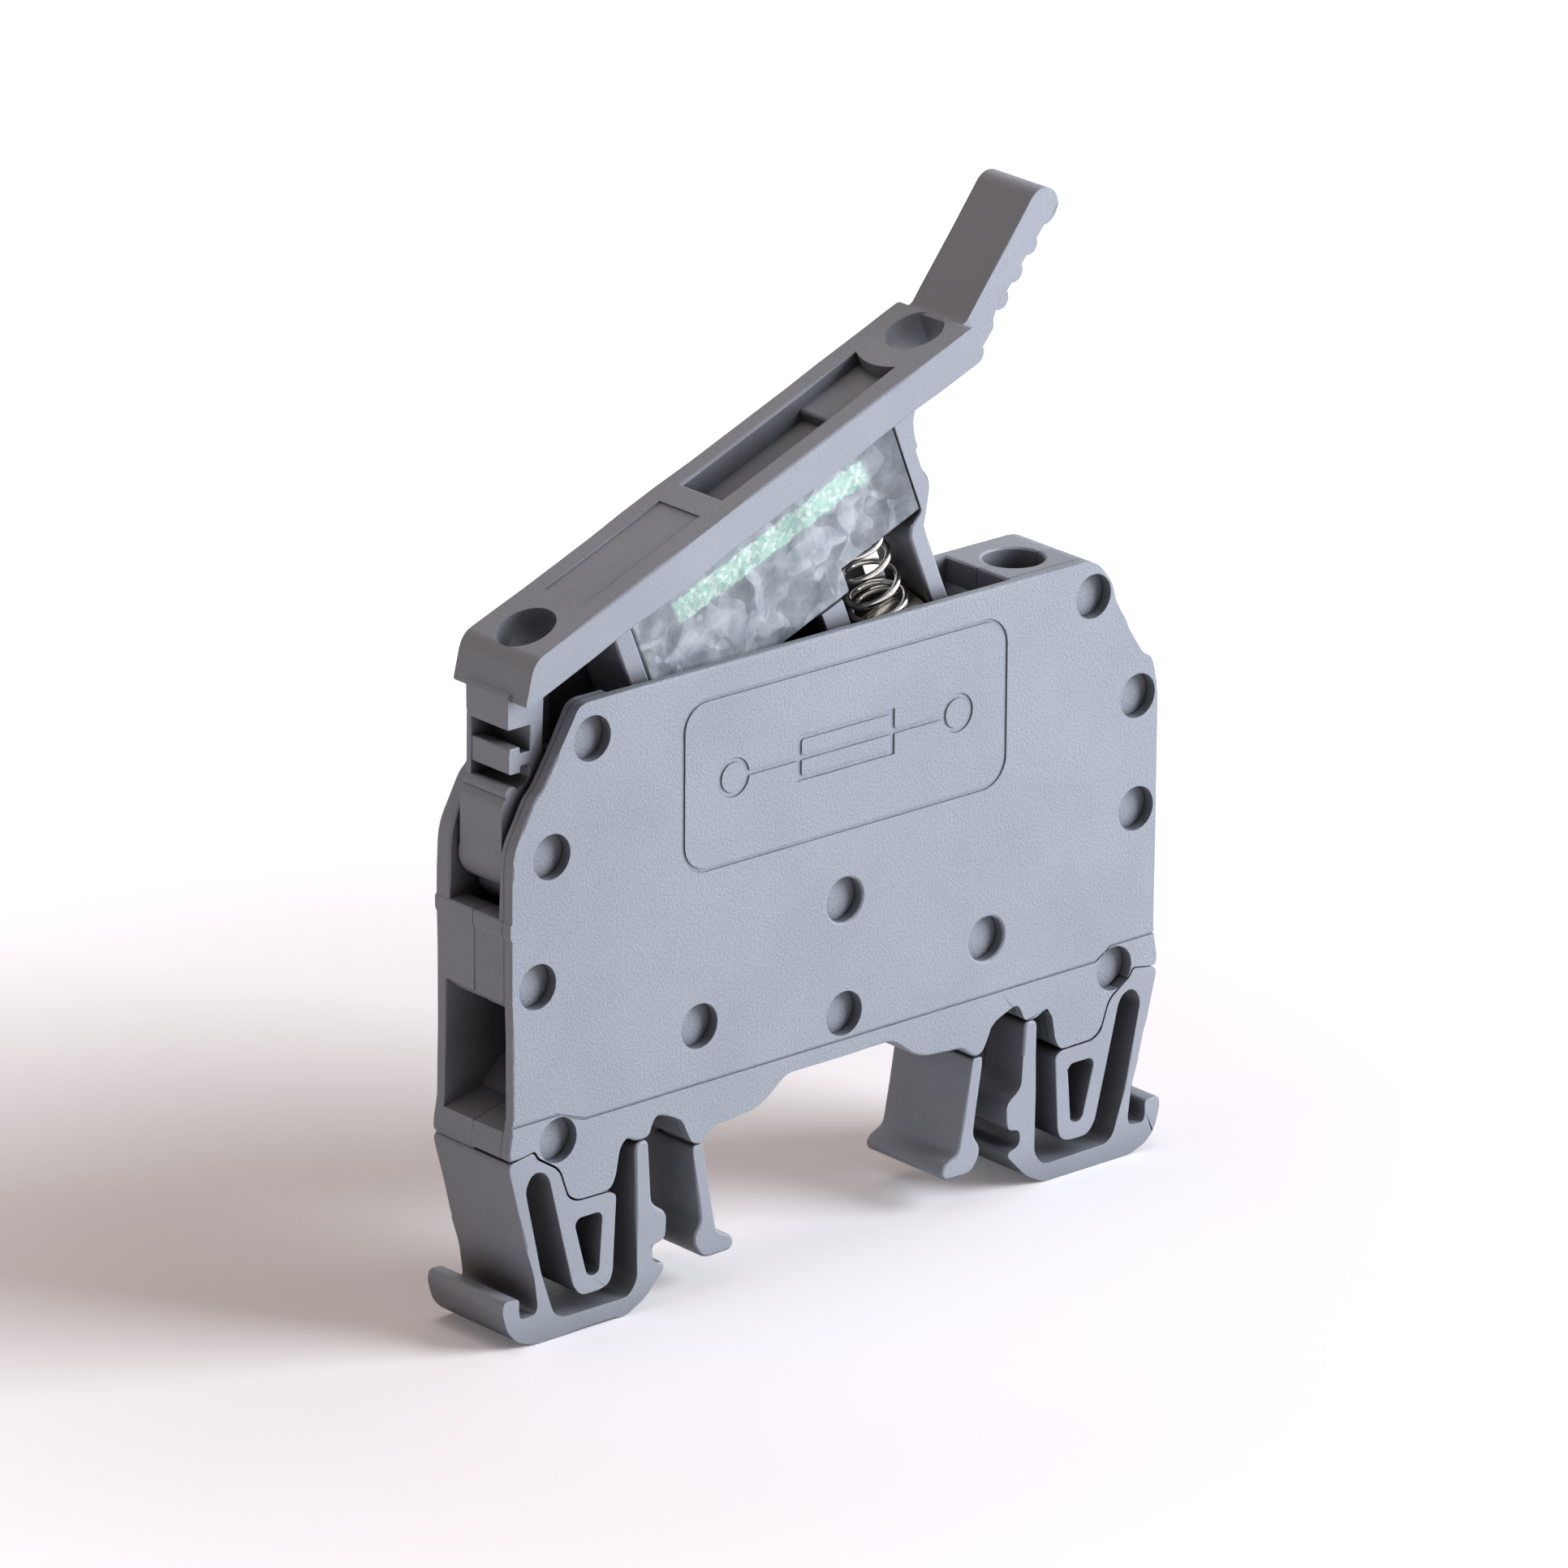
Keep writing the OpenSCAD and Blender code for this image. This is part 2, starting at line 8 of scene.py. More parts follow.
# %% Load the frame
import bpy
import bmesh
import json
import math
from mathutils import Matrix, Vector
from mathutils.geometry import intersect_point_line

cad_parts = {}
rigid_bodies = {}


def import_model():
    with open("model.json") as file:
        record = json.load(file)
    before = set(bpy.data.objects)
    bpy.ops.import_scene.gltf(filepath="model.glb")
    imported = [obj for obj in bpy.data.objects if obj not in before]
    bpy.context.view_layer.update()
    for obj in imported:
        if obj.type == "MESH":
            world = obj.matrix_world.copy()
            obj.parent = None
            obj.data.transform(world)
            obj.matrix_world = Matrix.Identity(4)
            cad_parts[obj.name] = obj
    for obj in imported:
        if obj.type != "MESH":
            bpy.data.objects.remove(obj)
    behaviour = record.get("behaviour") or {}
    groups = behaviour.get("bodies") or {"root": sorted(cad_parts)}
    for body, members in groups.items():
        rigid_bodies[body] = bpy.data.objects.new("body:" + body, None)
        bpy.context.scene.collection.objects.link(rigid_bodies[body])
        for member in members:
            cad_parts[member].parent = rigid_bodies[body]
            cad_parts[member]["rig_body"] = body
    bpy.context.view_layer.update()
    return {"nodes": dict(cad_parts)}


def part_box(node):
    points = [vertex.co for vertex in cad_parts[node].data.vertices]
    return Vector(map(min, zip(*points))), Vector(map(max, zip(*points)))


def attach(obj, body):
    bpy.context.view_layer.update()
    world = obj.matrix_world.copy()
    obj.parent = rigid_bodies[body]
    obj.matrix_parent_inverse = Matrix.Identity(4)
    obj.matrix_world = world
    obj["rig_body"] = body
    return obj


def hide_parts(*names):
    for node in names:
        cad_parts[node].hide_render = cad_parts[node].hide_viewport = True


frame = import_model()
nodes = frame["nodes"]
MM = 0.001
print("pieces in the CAD model:", len(nodes))

# %% [markdown]
# ## The camera
# Product photographs of small parts are taken from far away with a long lens, so that edges stay almost
# parallel. The camera is built from the direction it looks along, because that keeps azimuth, height and the
# small roll as numbers that can be read.

# %% Place the camera
CAMERA_PLACE = (-0.56042, -0.64327, 0.34511)
AZIMUTH, ELEVATION, ROLL = -40.97, 20.0, 0.385


def aim(azimuth, elevation, roll):
    a, e, r = (math.radians(v) for v in (azimuth, elevation, roll))
    forward = Vector((-math.sin(a) * math.cos(e), math.cos(a) * math.cos(e), -math.sin(e)))
    right = forward.cross(Vector((0, 0, 1))).normalized()
    up = right.cross(forward)
    side = right * math.cos(r) + up * math.sin(r)
    top = up * math.cos(r) - right * math.sin(r)
    return Matrix((side, top, -forward)).transposed()


lens = bpy.data.cameras.new("long_lens")
lens.sensor_width = 36
lens.lens = 290.5
lens.clip_start = 0.05
camera = bpy.data.objects.new("long_lens", lens)
camera.matrix_world = Matrix.Translation(CAMERA_PLACE) @ aim(AZIMUTH, ELEVATION, ROLL).to_4x4()
bpy.context.scene.collection.objects.link(camera)
bpy.context.scene.camera = camera
print("camera", [round(v, 3) for v in camera.location])

# %% [markdown]
# ## Small helpers
# Colours are written as the hex values that a paint program shows. Blender mixes light in linear values, so
# one function turns hex into linear. The others add a shader node with its settings and links, add a colour
# ramp, multiply two colours, and start a material with its shader and the object's own coordinates.

# %% Colour and node helpers
def colour(code):
    parts = [int(code[i:i + 2], 16) / 255 for i in (0, 2, 4)]
    return [p / 12.92 if p <= 0.04045 else ((p + 0.055) / 1.055) ** 2.4 for p in parts] + [1.0]


def put(tree, kind, settings=None, feed=None):
    made = tree.nodes.new(kind)
    for key, value in (settings or {}).items():
        setattr(made, key, value)
    for key, value in (feed or {}).items():
        if isinstance(value, bpy.types.NodeSocket):
            tree.links.new(value, made.inputs[key])
        else:
            made.inputs[key].default_value = value
    return made


def math_node(tree, operation, *values):
    return put(tree, "ShaderNodeMath", {"operation": operation}, dict(enumerate(values))).outputs[0]


def ramp(tree, source, stops):
    made = put(tree, "ShaderNodeValToRGB", feed={"Fac": source})
    bar = made.color_ramp
    while len(bar.elements) < len(stops):
        bar.elements.new(0.5)
    for element, (place, value) in zip(bar.elements, stops):
        element.position = place
        element.color = value if isinstance(value, (list, tuple)) else (value, value, value, 1)
    return made.outputs["Color"]


def multiply(tree, first, second):
    return put(tree, "ShaderNodeMix", {"data_type": "RGBA", "blend_type": "MULTIPLY"},
               {"Factor": 1.0, "A": first, "B": second}).outputs["Result"]


def start_material(name, feed):
    material = bpy.data.materials.new(name)
    material.use_nodes = True
    tree = material.node_tree
    tree.nodes.clear()
    shader = put(tree, "ShaderNodeBsdfPrincipled", feed=feed)
    put(tree, "ShaderNodeOutputMaterial", feed={"Surface": shader.outputs["BSDF"]})
    place = put(tree, "ShaderNodeTexCoord").outputs["Object"]
    return material, tree, shader, place


# %% [markdown]
# Most surfaces here are one noise pattern with a size in millimetres, used two or three times: for the tint,
# for the roughness and for a fine relief.

# %% Noise and relief
def noise(tree, place, size_mm, detail, **more):
    return put(tree, "ShaderNodeTexNoise",
               feed={"Vector": place, "Scale": 1 / (size_mm * MM), "Detail": detail, **more}).outputs


def emboss(tree, shader, height, strength, depth_mm):
    relief = put(tree, "ShaderNodeBump",
                 feed={"Height": height, "Strength": strength, "Distance": depth_mm * MM})
    tree.links.new(relief.outputs["Normal"], shader.inputs["Normal"])


# %% [markdown]
# ## Moulded polyamide with a spark-eroded grain
# The housing is grey polyamide 6.6, injection moulded. The side faces of its mould were spark eroded, which
# leaves a fine pebbled grain of a fifth of a millimetre. The eye reads it as small soft specks on a
# matt face. Polyamide has an IOR of about 1.53. Deep hollows get painted shade: the colour darkens to a
# brownish dark where an occlusion node finds less than seven tenths of the surroundings open.

# %% Polyamide
GRAIN_MM = 0.20
FLOW_MM = 9.0
HOLLOW_MM = 8.0
ROUGHNESS_SPREAD = 0.06


def polyamide(name, light, dark, grain_depth, roughness, fleck_low, lines=()):
    material, tree, shader, place = start_material(name, {"IOR": 1.53, "Specular IOR Level": 0.45})
    flow = noise(tree, place, FLOW_MM, 3.0)["Fac"]
    tint = ramp(tree, flow, [(0.35, colour(dark)), (0.65, colour(light))])
    specks = noise(tree, place, GRAIN_MM, 2.0, Roughness=0.5)["Fac"]
    fleck = ramp(tree, specks, [(0.36, fleck_low), (0.62, 1.0)])
    mixed = multiply(tree, tint, fleck)
    # painted shade: an occlusion node darkens the colour in hollows and deep cavities
    hollow = put(tree, "ShaderNodeAmbientOcclusion", {"samples": 4}, {"Distance": HOLLOW_MM * MM})
    painted_hollow_shade = ramp(tree, hollow.outputs["AO"], [(0.10, colour("35302D")), (0.70, colour("FFFFFF"))])
    base, height = multiply(tree, mixed, painted_hollow_shade), specks
    for depth_mm, above_mm in lines:
        base, height = parting_line(tree, place, depth_mm, above_mm, base, height)
    tree.links.new(base, shader.inputs["Base Color"])
    rough = ramp(tree, specks, [(0.3, roughness + ROUGHNESS_SPREAD), (0.7, roughness - ROUGHNESS_SPREAD)])
    tree.links.new(rough, shader.inputs["Roughness"])
    emboss(tree, shader, height, 1.0, grain_depth)
    return material


# %% [markdown]
# The mould of the front shell parts 0.9 mm behind the side face, and that leaves a hairline around every end
# face. A second line runs where the two shells meet in the middle. Each is a line at one depth, so the
# material finds it by distance along Y: it darkens a thin band and sinks it in the bump. The feet belong to
# one shell only, so the seam starts above them: below that height the distance grows by a metre, which is
# never inside the band.

# %% Parting lines
PARTING_WIDTH_MM = 0.13
PARTING_SHADE = 0.42


def parting_line(tree, place, depth_mm, above_mm, base, height):
    along = put(tree, "ShaderNodeSeparateXYZ", feed={"Vector": place}).outputs
    gap = math_node(tree, "SUBTRACT", along["Y"], depth_mm * MM)
    gap = math_node(tree, "ABSOLUTE", gap)
    low = math_node(tree, "LESS_THAN", along["Z"], above_mm * MM)
    gap = math_node(tree, "ADD", gap, low)
    away = put(tree, "ShaderNodeMapRange", {"interpolation_type": "SMOOTHSTEP"},
               {"Value": gap, "From Min": PARTING_WIDTH_MM * 0.3 * MM,
                "From Max": PARTING_WIDTH_MM * 0.6 * MM,
                "To Min": PARTING_SHADE, "To Max": 1.0}).outputs["Result"]
    return multiply(tree, base, away), math_node(tree, "MULTIPLY", height, away)


# %% [markdown]
# The front shell is grained and shows both lines. The rear shell was moulded against polished steel and has
# the seam only. The lever is polished too, a little smoother all over since fingers rub it, and has no line.

# %% The three finishes of the polyamide
MOULD_LINE_MM = -3.28
SEAM_MM = 0.0
FEET_TOP_MM = 16.4
grained = polyamide("spark_eroded_polyamide", "A8B0BB", "A1A9B5", 0.065, 0.54, 0.87,
                    ((MOULD_LINE_MM, 0.0), (SEAM_MM, FEET_TOP_MM)))
plain = polyamide("polished_mould_polyamide", "A6ADB8", "9EA5B0", 0.03, 0.44, 0.94,
                  ((SEAM_MM, FEET_TOP_MM),))
handled = polyamide("handled_polyamide", "A6ADB8", "9EA5B0", 0.03, 0.42, 0.94)
print("polyamide grain", GRAIN_MM, "mm")

# %% [markdown]
# ## Glass and milky epoxy
# The tube of the fuse is glass, and the body of the light is milky epoxy. Light passes through both. The
# roughness decides how much of what is behind them blurs, and a soft cloud pattern breaks it up.

# %% Clouded materials
def clouded(name, tint, roughness, cloud_mm, ior):
    material, tree, shader, place = start_material(
        name, {"IOR": ior, "Transmission Weight": 0.82, "Base Color": colour(tint)})
    cloud = noise(tree, place, cloud_mm, 4.0, Distortion=0.6)["Fac"]
    rough = ramp(tree, cloud, [(0.35, roughness * 0.5), (0.65, roughness)])
    tree.links.new(rough, shader.inputs["Roughness"])
    emboss(tree, shader, cloud, 0.6, 0.08)
    return material


tube_glass = clouded("fuse_tube_glass", "F4F8F8", 0.04, 6.0, 1.5)
lens_plastic = clouded("milky_led_epoxy", "F2F1E6", 0.5, 1.0, 1.54)
print("clear materials:", tube_glass.name, lens_plastic.name)

# %% [markdown]
# ## The directions of the lever
# The lever is drawn closed in the CAD source and stands open here. A place that was measured on the closed
# lever is therefore turned about the pivot, after the small shift that opening it brings.

# %% From the closed lever to the open one
PIVOT_X, PIVOT_Z, OPEN_DEGREES, LEVER_SHIFT = -26.3, 33.7, 21.7, 0.38


def on_open_lever(x, z):
    turn = Matrix.Rotation(math.radians(-OPEN_DEGREES), 4, "Y")
    pivot = Matrix.Translation((PIVOT_X * MM, 0, PIVOT_Z * MM))
    return pivot @ turn @ Matrix.Translation(((x + LEVER_SHIFT - PIVOT_X) * MM, 0, (z - PIVOT_Z) * MM))


print("the lever stands open by", OPEN_DEGREES, "degrees")

# %% [markdown]
# ## Creased polycarbonate
# The indicator's case has thin walls that sagged and creased as they cooled, so light breaks on many small
# flat facets. A Voronoi pattern gives each facet its own grey and its own tilt. A Mapping node turns the place
# into the lever's own directions. There a band in front of the board shows mint green with white grains, and
# the solid end block is darker.

# %% Numbers of the case, and helpers for bands and facets
FACET_MM = 2.2
FINE_SHARE = 1.8
BEND_MM = 3.5
TILT = 0.24
BAND_LOW, BAND_HIGH, BAND_LEFT, BAND_RIGHT = 44.5, 46.4, -8.8, 10.1
BLOCK_FROM, BLOCK_TO = 10.4, 20.0
RAGGED_MM = 0.7
CLEAR_OUTSIDE, CLEAR_IN_BAND = 0.28, 0.10


def between(tree, value, low, high, blur):
    rise = put(tree, "ShaderNodeMapRange", {"interpolation_type": "SMOOTHSTEP"},
               {"Value": value, "From Min": (low - blur) * MM,
                "From Max": (low + blur) * MM}).outputs["Result"]
    fall = put(tree, "ShaderNodeMapRange", {"interpolation_type": "SMOOTHSTEP"},
               {"Value": value, "From Min": (high - blur) * MM, "From Max": (high + blur) * MM,
                "To Min": 1.0, "To Max": 0.0}).outputs["Result"]
    return math_node(tree, "MULTIPLY", rise, fall)


def blend(tree, share, first, second):
    return put(tree, "ShaderNodeMix", {"data_type": "RGBA"},
               {"Factor": share, "A": first, "B": second}).outputs["Result"]


def vector_node(tree, operation, feed):
    return put(tree, "ShaderNodeVectorMath", {"operation": operation}, feed).outputs["Vector"]


def cells(tree, vector, scale):
    return put(tree, "ShaderNodeTexVoronoi", feed={"Vector": vector, "Scale": scale}).outputs["Color"]


def channel(tree, source, name):
    return put(tree, "ShaderNodeSeparateColor", feed={"Color": source}).outputs[name]


# %% [markdown]
# The band is found first. Its upper and lower edges wander a little with a fine noise, because the plastic
# in front of the board blurs them.

# %% The mint band
def mint_band(tree, place, along):
    wander = noise(tree, place, RAGGED_MM, 2.0)["Fac"]
    ragged = math_node(tree, "MULTIPLY_ADD", wander, RAGGED_MM * MM, along["Z"])
    band_z = between(tree, ragged, BAND_LOW + RAGGED_MM / 2, BAND_HIGH + RAGGED_MM / 2, 0.10)
    band_x = between(tree, along["X"], BAND_LEFT, BAND_RIGHT, 0.25)
    return math_node(tree, "MULTIPLY", band_z, band_x)


def mint_colour(tree, place):
    grains = cells(tree, place, 1 / (0.30 * MM))
    return ramp(tree, channel(tree, grains, "Blue"),
                [(0.0, colour("A3CFC0")), (0.6, colour("B7DBCF")), (0.9, colour("DFF0E9"))])


# %% The creased case
def creased_case(name):
    material, tree, shader, place = start_material(name, {"IOR": 1.58, "Specular IOR Level": 0.5})
    back = on_open_lever(0, 0).inverted()
    closed = put(tree, "ShaderNodeMapping", {"vector_type": "POINT"},
                 {"Vector": place, "Location": back.to_translation(), "Rotation": back.to_euler()})
    along = put(tree, "ShaderNodeSeparateXYZ", feed={"Vector": closed.outputs["Vector"]}).outputs
    band = mint_band(tree, place, along)
    bend = vector_node(tree, "SCALE", {0: noise(tree, place, 3.0, 1.0)["Color"], "Scale": BEND_MM * MM})
    bent = vector_node(tree, "ADD", {0: place, 1: bend})
    facets = cells(tree, bent, 1 / (FACET_MM * MM))
    fine = cells(tree, bent, FINE_SHARE / (FACET_MM * MM))
    haze = noise(tree, place, 1.9, 3.0)["Fac"]
    both = math_node(tree, "MULTIPLY_ADD", channel(tree, facets, "Red"), 0.16, haze)
    body = ramp(tree, both, [(0.36, colour("7E8993")), (0.58, colour("A3AEB8")), (0.80, colour("CCD5DC"))])
    block = ramp(tree, both, [(0.40, colour("69727C")), (0.75, colour("97A1AB"))])
    body = blend(tree, between(tree, along["X"], BLOCK_FROM, BLOCK_TO, 0.25), body, block)
    tree.links.new(blend(tree, band, body, mint_colour(tree, place)), shader.inputs["Base Color"])
    clear = put(tree, "ShaderNodeMapRange",
                feed={"Value": band, "To Min": CLEAR_OUTSIDE, "To Max": CLEAR_IN_BAND}).outputs["Result"]
    tree.links.new(clear, shader.inputs["Transmission Weight"])
    rough = ramp(tree, channel(tree, fine, "Green"), [(0.0, 0.12), (1.0, 0.34)])
    tree.links.new(rough, shader.inputs["Roughness"])
    sway = vector_node(tree, "SUBTRACT", {0: facets, 1: (0.5, 0.5, 0.5)})
    ripple = vector_node(tree, "SUBTRACT", {0: fine, 1: (0.5, 0.5, 0.5)})
    tilt = vector_node(tree, "ADD", {0: sway, 1: ripple})
    tilt = vector_node(tree, "SCALE", {0: tilt, "Scale": TILT})
    flat = put(tree, "ShaderNodeNewGeometry").outputs["Normal"]
    turned = vector_node(tree, "ADD", {0: flat, 1: tilt})
    tree.links.new(vector_node(tree, "NORMALIZE", {0: turned}), shader.inputs["Normal"])
    return material


frosted = creased_case("creased_polycarbonate")
print("facets of", FACET_MM, "mm, mint band", round(BAND_RIGHT - BAND_LEFT, 1), "mm long")

# %% [markdown]
# ## Metals
# Drawn spring wire is bright with fine lines along it, tin plating is soft and slightly blotchy, zinc plating
# is cooler, and the jaws are rolled bronze. Each is a metal with its own tint and roughness, and one pattern,
# stretched along the direction in which the metal was worked, moves both a little.

# %% Metal finishes
def metal(name, light, dark, roughness, grain_mm, stretch):
    material, tree, shader, place = start_material(name, {"Metallic": 1.0})
    spread = put(tree, "ShaderNodeMapping", feed={"Vector": place, "Scale": stretch})
    marks = noise(tree, spread.outputs["Vector"], grain_mm, 4.0)["Fac"]
    tint = ramp(tree, marks, [(0.3, colour(dark)), (0.7, colour(light))])
    tree.links.new(tint, shader.inputs["Base Color"])
    rough = ramp(tree, marks, [(0.3, roughness * 1.4), (0.7, roughness * 0.7)])
    tree.links.new(rough, shader.inputs["Roughness"])
    emboss(tree, shader, marks, 0.5, 0.01)
    return material


spring_steel = metal("drawn_spring_steel", "E2E0DC", "BDB9B3", 0.16, 0.5, (1, 1, 4))
tinned = metal("tin_plated_copper", "CFCDC6", "B4B0A8", 0.34, 0.9, (1, 3, 3))
bronze = metal("rolled_bronze", "C9A067", "A67C4A", 0.3, 0.6, (4, 1, 1))
zinc = metal("zinc_plated_steel", "C9CCD2", "A3A8B0", 0.32, 0.7, (1, 1, 1))
nickel = metal("nickel_plated_brass", "D3CEC2", "B5AF9F", 0.2, 0.6, (1, 4, 4))
print("metals:", [m.name for m in (spring_steel, tinned, bronze, zinc, nickel)])

# %% [markdown]
# The board is coated with green solder mask, and the resistors are black ceramic. Both are one colour with
# faint spots.

# %% Board and chips
def solid_colour(name, light, dark, roughness, spot_mm):
    material, tree, shader, place = start_material(name, {"IOR": 1.5, "Roughness": roughness})
    spots = noise(tree, place, spot_mm, 3.0)["Fac"]
    tint = ramp(tree, spots, [(0.35, colour(dark)), (0.65, colour(light))])
    tree.links.new(tint, shader.inputs["Base Color"])
    emboss(tree, shader, spots, 0.4, 0.02)
    return material


solder_mask = solid_colour("green_solder_mask", "5FBF98", "47A983", 0.35, 1.2)
chip_ceramic = solid_colour("black_chip_ceramic", "26262A", "17171A", 0.5, 0.5)
print("board and chips:", solder_mask.name, chip_ceramic.name)

# %% [markdown]
# ## Rounded edges
# No moulded or stamped edge is perfectly sharp: each carries a radius of a tenth of a millimetre or two, and
# that is what catches the light. Each piece is a welded copy of its CAD node with a Bevel modifier. A bevel
# wider than the wall beside it would fold over itself, so the script measures how far the two faces reach from
# each edge and writes the largest safe radius as the edge's bevel weight. Hollow corners stay as they are.
# The engraved lines are so shallow that they keep sharp edges. Large flat faces are cut into cells of 3 mm
# afterwards, so that no face has a hole in it or a very long outline.

# %% Measure the room beside an edge, and cut flat faces into cells
CELL_MM = 3.0
FIRST_CUT_MM = 1.37
CUT_REACH = 1e-6
FLAT_DEGREES = 0.6


def room(edge):
    start, end = (v.co for v in edge.verts)
    run = (end - start).normalized()
    reach = []
    for face in edge.link_faces:
        reach.append(max(((v.co - start) - run * (v.co - start).dot(run)).length for v in face.verts))
    return min(reach)


def join_flat_faces(work, keep_seams=False):
    bmesh.ops.dissolve_limit(work, angle_limit=math.radians(FLAT_DEGREES), verts=work.verts,
                             edges=work.edges, delimit={"SEAM"} if keep_seams else set())


def cut_into_cells(work):
    bmesh.ops.triangulate(work, faces=work.faces)
    for axis in (Vector((1, 0, 0)), Vector((0, 0, 1))):
        reach = [v.co.dot(axis) for v in work.verts]
        at = min(reach) + FIRST_CUT_MM * MM
        while at < max(reach):
            cut = bmesh.ops.bisect_plane(work, geom=work.verts[:] + work.edges[:] + work.faces[:],
                                         dist=CUT_REACH, plane_co=axis * at, plane_no=axis)
            for part in cut["geom_cut"]:
                if isinstance(part, bmesh.types.BMEdge):
                    part.seam = True
            at += CELL_MM * MM
    join_flat_faces(work, keep_seams=True)


# %% [markdown]
# Where a recess runs close to a seam, even a small radius can fold a thin strip of the flat face. The script
# looks for triangles that face against their polygon, narrows the radius of the edges beside them and tries
# again.

# %% Find folded strips and narrow the edges beside them
FOLD_AREA = 4e-10
NARROWER = 0.4
BESIDE_MM = 0.15


def folded_places(piece):
    mesh = piece.evaluated_get(bpy.context.evaluated_depsgraph_get()).to_mesh()
    mesh.calc_loop_triangles()
    found = {}
    for triangle in mesh.loop_triangles:
        a, b, c = (mesh.vertices[i].co for i in triangle.vertices)
        face = mesh.polygons[triangle.polygon_index]
        if (b - a).cross(c - a).dot(face.normal) < -FOLD_AREA:
            found[face.index] = (face.center.copy(), [mesh.vertices[i].co.copy() for i in face.vertices])
    piece.to_mesh_clear()
    return list(found.values())


def narrow_beside(mesh, places):
    weights = mesh.attributes["bevel_weight_edge"].data
    rounded = [(e.index, *(mesh.vertices[i].co.copy() for i in e.vertices)) for e in mesh.edges
               if weights[e.index].value > 0]
    beside = set()
    for centre, corners in places:
        span = max((c - centre).length for c in corners) + BESIDE_MM * MM
        for index, start, end in rounded:
            if (start - centre).length < span + (end - start).length:
                part = intersect_point_line(centre, start, end)[1]
                if (start.lerp(end, min(1, max(0, part))) - centre).length < span:
                    beside.add(index)
    for index in beside:
        weights[index].value *= NARROWER


# %% [markdown]
# The radius at an edge is the piece's own radius, or less where the room beside the edge is small. The two
# shells meet on the middle plane, where their edges are a little sharper. An edge whose radius would be
# smaller than about a twentieth of a millimetre stays sharp.

# %% Write the radius of each edge as its weight
WELD = 2e-6
SHARP_DEGREES = 35
ROOM_SHARE = 0.35
SMALLEST_RADIUS_MM = 0.045
ON_SEAM = 2e-5


def weigh_edges(work, width_mm, seam_mm):
    weight = work.edges.layers.float.new("bevel_weight_edge")
    for edge in work.edges:
        sharp = len(edge.link_faces) == 2 and edge.calc_face_angle(0) > math.radians(SHARP_DEGREES)
        edge.smooth = len(edge.link_faces) == 2 and not sharp
        if sharp and edge.is_convex:
            radius = min(width_mm, ROOM_SHARE * room(edge) / MM)
            if seam_mm is not None and all(abs(v.co.y) < ON_SEAM for v in edge.verts):
                radius = min(radius, seam_mm)
            if radius > SMALLEST_RADIUS_MM:
                edge[weight] = radius / width_mm
    return sum(1 for edge in work.edges if edge[weight] > 0)


# %% Round the edges of a copy
ATTEMPTS = 4


def rounded_copy(name, width_mm, material, segments=2, seam_mm=None):
    mesh = nodes[name].data.copy()
    work = bmesh.new()
    work.from_mesh(mesh)
    bmesh.ops.remove_doubles(work, verts=work.verts, dist=WELD)
    bmesh.ops.dissolve_degenerate(work, edges=work.edges, dist=WELD)
    join_flat_faces(work)
    for face in work.faces:
        face.smooth = True
    rounded = weigh_edges(work, width_mm, seam_mm)
    cut_into_cells(work)
    work.to_mesh(mesh)
    work.free()
    mesh.materials.clear()
    mesh.materials.append(material)
    piece = bpy.data.objects.new(name + "_rounded", mesh)
    bpy.context.scene.collection.objects.link(piece)
    bevel = piece.modifiers.new("edge radius", "BEVEL")
    bevel.width = width_mm * MM
    bevel.segments = segments
    bevel.limit_method = "WEIGHT"
    bevel.use_clamp_overlap = False
    bevel.loop_slide = False
    for _ in range(ATTEMPTS):
        places = folded_places(piece)
        if not places:
            break
        narrow_beside(mesh, places)
    piece.modifiers.new("flat faces", "WEIGHTED_NORMAL").keep_sharp = True
    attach(piece, nodes[name]["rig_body"])
    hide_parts(name)
    print(name, "rounded by", width_mm, "mm on", rounded, "edges, still folded:", len(places))


rounded_copy("front_shell", 0.18, grained, seam_mm=0.15)
rounded_copy("rear_shell", 0.18, plain, seam_mm=0.15)
rounded_copy("lever", 0.20, handled)
rounded_copy("indicator_cover", 0.20, frosted, segments=3)

# %% [markdown]
# The metal and electronic pieces get the same treatment with the radius of their own process: deep drawn caps
# are round, sheared sheet is nearly sharp, and a cut board hardly has a radius at all. The tube and the wire
# of the fuse are round already, so they only get a material.

# %% Metal and electronic pieces
for name, width_mm, material in (
        ("indicator_board", 0.05, solder_mask), ("indicator_led", 0.30, lens_plastic),
        ("indicator_resistors", 0.06, chip_ceramic), ("indicator_contacts", 0.08, tinned),
        ("fuse_cap_left", 0.30, nickel), ("fuse_cap_right", 0.30, nickel),
        ("busbar_left", 0.12, tinned), ("busbar_right", 0.12, tinned),
        ("fuse_clip_left", 0.08, bronze), ("fuse_clip_right", 0.08, bronze),
        ("clamp_cage_left", 0.20, zinc), ("clamp_cage_right", 0.20, zinc),
        ("clamp_screw_left", 0.12, zinc), ("clamp_screw_right", 0.12, zinc)):
    rounded_copy(name, width_mm, material)
for name, material in (("fuse_glass", tube_glass), ("fuse_wire", tinned)):
    nodes[name].data.materials.clear()
    nodes[name].data.materials.append(material)

# %% [markdown]
# ## Wound springs
# Each contact spring is hard drawn wire wound into a slightly tapered coil, with its end turns closed so that
# it stands square. The centre line follows a rule, so Geometry Nodes draw it: a line is cut into many points,
# and each point moves to its angle, radius and height. Smoothstep on the height closes the end turns. A circle
# swept along the line gives the wire its thickness.

# %% Geometry Nodes tree for a wound wire
POINTS_ON_WIRE = 260
SIDES_OF_WIRE = 12


def add_input(tree, name, kind, value=None):
    socket = tree.interface.new_socket(name, in_out="INPUT", socket_type=kind)
    if value is not None:
        socket.default_value = value
    return socket.identifier


